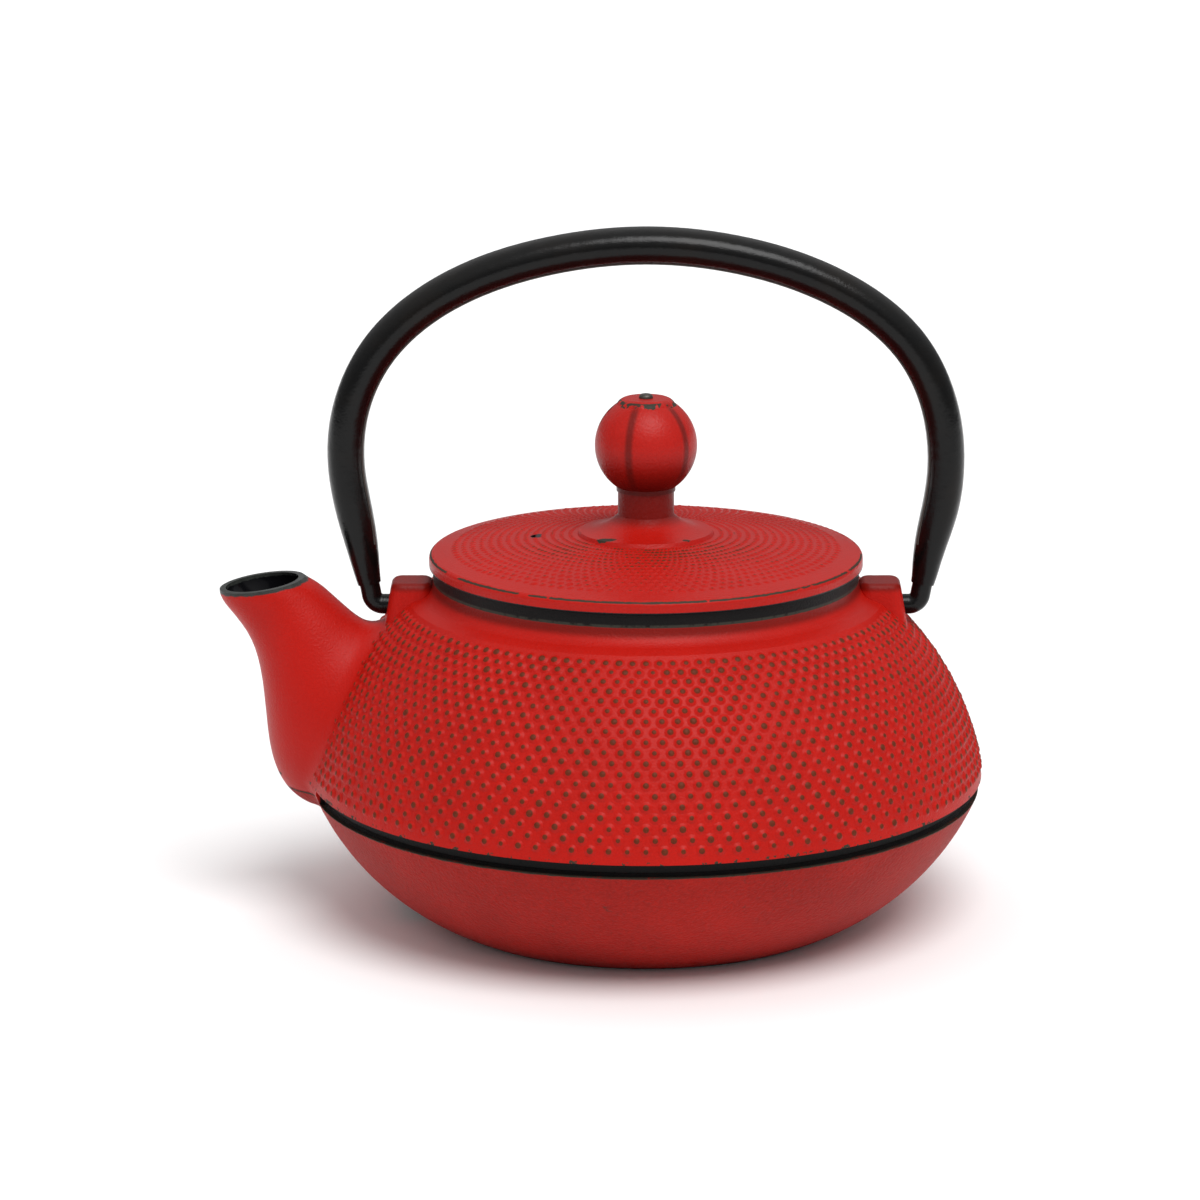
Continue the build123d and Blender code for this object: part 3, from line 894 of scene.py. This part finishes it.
# Low dots in rings on the lid's top, from the flange out to the plain rim.
lid_dot_tree = bpy.data.node_groups.new("lid_dots", "GeometryNodeTree")
tree = lid_dot_tree
given, result = tree_inputs(
    tree,
    [
        ("Casting", "NodeSocketObject"),
        ("Rings", "NodeSocketInt"),
        ("Around", "NodeSocketInt"),
        ("First Ring", "NodeSocketFloat"),
        ("Ring Step", "NodeSocketFloat"),
        ("Above", "NodeSocketFloat"),
        ("Dot Width", "NodeSocketFloat"),
        ("Dot Height", "NodeSocketFloat"),
        ("Seed", "NodeSocketInt"),
        ("Paint", "NodeSocketMaterial"),
    ],
)
index = put(tree, "GeometryNodeInputIndex").outputs[0]
row = sum_of(tree, "FLOOR", sum_of(tree, "DIVIDE", sum_of(tree, "ADD", index, 0.5), given["Around"]))
column = sum_of(tree, "SUBTRACT", index, sum_of(tree, "MULTIPLY", row, given["Around"]))
stagger = sum_of(tree, "MULTIPLY", sum_of(tree, "MODULO", row, 2.0), 0.5)
turn = sum_of(
    tree,
    "MULTIPLY",
    sum_of(tree, "DIVIDE", sum_of(tree, "ADD", column, stagger), given["Around"]),
    2 * math.pi,
)
reach = sum_of(tree, "ADD", given["First Ring"], sum_of(tree, "MULTIPLY", row, given["Ring Step"]))
start = put(
    tree,
    "ShaderNodeCombineXYZ",
    {
        0: sum_of(tree, "MULTIPLY", reach, sum_of(tree, "COSINE", turn)),
        1: sum_of(tree, "MULTIPLY", reach, sum_of(tree, "SINE", turn)),
        2: given["Above"],
    },
).outputs[0]
casting = put(
    tree, "GeometryNodeObjectInfo", {"Object": given["Casting"]}, transform_space="ORIGINAL"
).outputs["Geometry"]
ray = ray_on_casting(tree, casting, start, (0, 0, -1), 0.03)
facing_up = put(tree, "ShaderNodeSeparateXYZ", {0: ray.outputs["Hit Normal"]}).outputs[2]
landed = sum_of(tree, "MULTIPLY", ray.outputs["Is Hit"], sum_of(tree, "GREATER_THAN", facing_up, 0.95))
on_top = sum_of(tree, "LESS_THAN", ray.outputs["Hit Distance"], 0.0125)
landed = sum_of(tree, "MULTIPLY", landed, on_top)
points = put(
    tree,
    "GeometryNodePoints",
    {
        "Count": sum_of(tree, "MULTIPLY", given["Rings"], given["Around"]),
        "Position": ray.outputs["Hit Position"],
    },
)
grade = put(
    tree,
    "GeometryNodeStoreNamedAttribute",
    {
        "Geometry": points.outputs[0],
        "Name": "wear",
        "Value": put(tree, "FunctionNodeRandomValue", {"Seed": given["Seed"]}, data_type="FLOAT").outputs[1],
    },
    data_type="FLOAT",
    domain="POINT",
)
share_out = sum_of(tree, "DIVIDE", reach, 0.045)
size_pick = put(
    tree,
    "FunctionNodeRandomValue",
    {2: 0.8, 3: 1.1, "Seed": sum_of(tree, "ADD", given["Seed"], 1.0)},
    data_type="FLOAT",
).outputs[1]
half_width = sum_of(
    tree,
    "MULTIPLY",
    sum_of(tree, "MULTIPLY", given["Dot Width"], 0.5),
    sum_of(tree, "MULTIPLY", size_pick, sum_of(tree, "ADD", 0.45, sum_of(tree, "MULTIPLY", share_out, 0.6))),
)
scale = put(
    tree,
    "ShaderNodeCombineXYZ",
    {0: half_width, 1: half_width, 2: sum_of(tree, "MULTIPLY", given["Dot Height"], size_pick)},
).outputs[0]
placed = put(
    tree,
    "GeometryNodeInstanceOnPoints",
    {
        "Points": grade.outputs[0],
        "Selection": landed,
        "Instance": dot_mesh(tree, 8, 2),
        "Rotation": put(
            tree, "FunctionNodeAlignRotationToVector", {"Vector": ray.outputs["Hit Normal"]}, axis="Z"
        ).outputs[0],
        "Scale": scale,
    },
).outputs[0]
solid = put(tree, "GeometryNodeRealizeInstances", {0: placed}).outputs[0]
smooth = put(tree, "GeometryNodeSetShadeSmooth", {0: solid}).outputs[0]
tree.links.new(
    put(tree, "GeometryNodeSetMaterial", {"Geometry": smooth, "Material": given["Paint"]}).outputs[0],
    result["Geometry"],
)
_, lid_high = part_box("lid_casting")
lid_dots = grown_piece(
    "lid_dots",
    lid_dot_tree,
    {
        "Casting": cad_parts["lid_casting"],
        "Rings": 15,
        "Around": 120,
        "First Ring": 0.0162,
        "Ring Step": 0.0019,
        "Above": lid_high.z,
        "Dot Width": 0.0018,
        "Dot Height": 0.00025,
        "Seed": 11,
        "Paint": dot_paint,
    },
)
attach(lid_dots, "lid")


# ---- Knob ------------------------------------------------------------------------------------
# A hollow ball with a flat cap, held on the lid's stem by one long rivet. Ball and cap are
# painted red and worn along the cap's edge, and the red darkens towards the bottom of the
# ball as painted shade. Five darker upright lines are painted shade that stands for the
# grooves between the ball's lobes: they are paint alone, with no groove in the solid under them.
knob_paint, tree, shader = new_material("knob_paint")
at = use(tree, place_group)
x, y, z, out = (at.outputs[n] for n in ("X", "Y", "Z", "Out"))
# Painted shade: five dark upright lines where the grooves between the lobes would lie in shade.
turn = sum_of(tree, "ARCTAN2", y, x)
lobe_pitch = math.radians(72)
first_groove = math.radians(-110)
from_groove = sum_of(
    tree,
    "ABSOLUTE",
    sum_of(
        tree,
        "SUBTRACT",
        sum_of(tree, "FLOORED_MODULO", sum_of(tree, "ADD", turn, lobe_pitch / 2 - first_groove), lobe_pitch),
        lobe_pitch / 2,
    ),
)
off_groove = sum_of(tree, "MULTIPLY", from_groove, out)
groove_painted_shade = sum_of(tree, "MULTIPLY", rise(tree, off_groove, 1.3, 0.3), rise(tree, out, 4.5, 7.5))
ragged = grain(tree, at.outputs["Point"], 1.0, 3.0)
cap_edge = sum_of(
    tree,
    "MULTIPLY",
    band(tree, z, 111.5, 112.7, 0.15),
    rise(tree, grain(tree, at.outputs["Point"], 2.6, 2.0), 0.46, 0.54),
)
cap_edge = sum_of(tree, "MULTIPLY", cap_edge, rise(tree, out, 4.2, 4.8))
# Painted shade: the red darkens towards the bottom of the ball, where the lid shades it.
low = rise(tree, z, 104, 93)
knob_red_with_painted_shade = tint(tree, low, (0.42, 0.010, 0.006), (0.11, 0.004, 0.002))
coat = use(
    tree,
    paint_group,
    {"Paint": knob_red_with_painted_shade, "Iron": (*bare_iron, 1), "Rub": cap_edge, "Mottle": 0.3, "Grain Size": 0.6},
)
colour = tint(tree, sum_of(tree, "MULTIPLY", groove_painted_shade, 0.75), coat.outputs["Color"], (0.10, 0.006, 0.004))
finish_shader(
    tree,
    shader,
    colour,
    mixed(tree, coat.outputs["Worn"], 0.38, 0.55),
    sum_of(tree, "MULTIPLY", coat.outputs["Grain"], 0.4),
    0.3,
)
shader.inputs["Specular IOR Level"].default_value = 0.2
dress("lid_knob", knob_paint)
dress("knob_cap", knob_paint)

rivet_steel, tree, shader = new_material("rivet_steel")
at = use(tree, place_group)
pits = grain(tree, at.outputs["Point"], 0.5, 3.0)
shade = tint(tree, pits, (0.045, 0.040, 0.036), (0.14, 0.125, 0.11))
finish_shader(tree, shader, shade, mixed(tree, pits, 0.35, 0.6), pits, 0.05, 0.8)
dress("knob_rivet", rivet_steel)
dress("rivet_washer", rivet_steel)


# ---- Handle ----------------------------------------------------------------------------------
# A bail rolled from sheet iron, hollow, with a solid pin bent out of each end into its lug.
# It is black enamelled, satin, with the rolled sheet's seam along its inner side.
handle_black, tree, shader = new_material("handle_black")
at = use(tree, place_group)
lumps = grain(tree, at.outputs["Point"], 2.4, 3.0)
fine = grain(tree, at.outputs["Point"], 0.35, 2.0)
dusty = rise(tree, grain(tree, at.outputs["Point"], 16.0, 4.0, 0.65), 0.45, 0.75)
brown = (0.009, 0.006, 0.004)
colour = tint(tree, sum_of(tree, "MULTIPLY", dusty, 0.5), (0.003, 0.003, 0.003), brown)
roughness = mixed(tree, lumps, 0.16, 0.26)
height = sum_of(tree, "ADD", sum_of(tree, "MULTIPLY", lumps, 0.7), sum_of(tree, "MULTIPLY", fine, 0.3))
finish_shader(tree, shader, colour, roughness, height, 0.12)
shader.inputs["Specular IOR Level"].default_value = 0.22
for node in ("handle_tube", "handle_pin_spout_side", "handle_pin_far_side"):
    dress(node, handle_black)

seam_tree = bpy.data.node_groups.new("rolled_seam", "GeometryNodeTree")
tree = seam_tree
given, result = tree_inputs(
    tree,
    [
        ("Handle", "NodeSocketObject"),
        ("Centre Up", "NodeSocketFloat"),
        ("Beside", "NodeSocketFloat"),
        ("First Angle", "NodeSocketFloat"),
        ("Last Angle", "NodeSocketFloat"),
        ("Steps", "NodeSocketInt"),
        ("Bead", "NodeSocketFloat"),
        ("Enamel", "NodeSocketMaterial"),
    ],
)
index = put(tree, "GeometryNodeInputIndex").outputs[0]
share = sum_of(tree, "DIVIDE", index, sum_of(tree, "SUBTRACT", given["Steps"], 1.0))
angle = sum_of(
    tree,
    "ADD",
    given["First Angle"],
    sum_of(tree, "MULTIPLY", share, sum_of(tree, "SUBTRACT", given["Last Angle"], given["First Angle"])),
)
heading = put(
    tree, "ShaderNodeCombineXYZ", {0: sum_of(tree, "COSINE", angle), 2: sum_of(tree, "SINE", angle)}
).outputs[0]
centre = put(tree, "ShaderNodeCombineXYZ", {1: given["Beside"], 2: given["Centre Up"]}).outputs[0]
rolled = put(
    tree, "GeometryNodeObjectInfo", {"Object": given["Handle"]}, transform_space="ORIGINAL"
).outputs["Geometry"]
ray = ray_on_casting(tree, rolled, centre, heading, 0.1)
line = put(tree, "GeometryNodeMeshLine", {"Count": given["Steps"]}).outputs[0]
laid = put(
    tree,
    "GeometryNodeSetPosition",
    {"Geometry": line, "Position": ray.outputs["Hit Position"]},
).outputs[0]
path = put(tree, "GeometryNodeMeshToCurve", {0: laid}).outputs[0]
profile = put(
    tree, "GeometryNodeCurvePrimitiveCircle", {"Resolution": 8, "Radius": given["Bead"]}
).outputs["Curve"]
bead = put(
    tree, "GeometryNodeCurveToMesh", {"Curve": path, "Profile Curve": profile, "Fill Caps": True}
).outputs[0]
solid = put(tree, "GeometryNodeRealizeInstances", {0: bead}).outputs[0]
smooth = put(tree, "GeometryNodeSetShadeSmooth", {0: solid}).outputs[0]
tree.links.new(
    put(tree, "GeometryNodeSetMaterial", {"Geometry": smooth, "Material": given["Enamel"]}).outputs[0],
    result["Geometry"],
)
_, handle_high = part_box("handle_tube")
seam_paint, tree, shader = new_material("seam_paint")
at = use(tree, place_group)
lumps = grain(tree, at.outputs["Point"], 1.2, 3.0)
seam_colour = tint(tree, lumps, (0.02, 0.014, 0.011), (0.06, 0.045, 0.036))
finish_shader(tree, shader, seam_colour, mixed(tree, lumps, 0.3, 0.45), lumps, 0.1)
handle_seam = grown_piece(
    "handle_seam",
    seam_tree,
    {
        "Handle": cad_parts["handle_tube"],
        "Centre Up": handle_high.z - 0.047,
        "Beside": -0.0021,
        "First Angle": math.radians(-20),
        "Last Angle": math.radians(200),
        "Steps": 200,
        "Bead": 0.00028,
        "Enamel": seam_paint,
    },
)
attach(handle_seam, "handle")


# ---- Floor, light and camera -------------------------------------------------------------
# A plain pale floor under an even white sky, one large soft lamp overhead in front, and a
# long lens a metre away, a little above the lid.
floor_mesh = bpy.data.meshes.new("floor")
floor_mesh.from_pydata([(-3, -3, 0), (3, -3, 0), (3, 3, 0), (-3, 3, 0)], [], [(0, 1, 2, 3)])
floor = bpy.data.objects.new("floor", floor_mesh)
bpy.context.scene.collection.objects.link(floor)
floor_paint, tree, shader = new_material("floor_paint")
shader.inputs["Base Color"].default_value = (0.95, 0.95, 0.95, 1)
shader.inputs["Roughness"].default_value = 0.9
shader.inputs["Specular IOR Level"].default_value = 0.1
floor_mesh.materials.append(floor_paint)

sky = bpy.data.worlds.new("sky")
bpy.context.scene.world = sky
sky.use_nodes = True
tree = sky.node_tree
heading = put(tree, "ShaderNodeTexCoord").outputs["Generated"]
upward = put(tree, "ShaderNodeSeparateXYZ", {0: heading}).outputs[2]
glow = tint(tree, rise(tree, upward, -0.05, 0.9), (0.26, 0.26, 0.27), (1.0, 1.0, 1.0))
tree.links.new(glow, tree.nodes["Background"].inputs["Color"])
tree.nodes["Background"].inputs["Strength"].default_value = 0.8

lamp = bpy.data.lights.new("soft_lamp", "SUN")
lamp.energy = 2.1
lamp.angle = math.radians(36)
lamp_holder = bpy.data.objects.new("soft_lamp", lamp)
bpy.context.scene.collection.objects.link(lamp_holder)
lamp_holder.rotation_euler = (math.radians(28), math.radians(12), 0)

camera_elevation = math.radians(14.16)
camera = bpy.data.objects.new("camera", bpy.data.cameras.new("camera"))
bpy.context.scene.collection.objects.link(camera)
camera.location = (0.0, -math.cos(camera_elevation), 0.060 + math.sin(camera_elevation))
camera.rotation_euler = (math.pi / 2 - camera_elevation, 0, 0)
camera.data.lens = 139.5
camera.data.sensor_width = 36
camera.data.shift_x = -0.0383
camera.data.shift_y = 0.0332
bpy.context.scene.camera = camera
bpy.context.scene.view_settings.view_transform = "Standard"
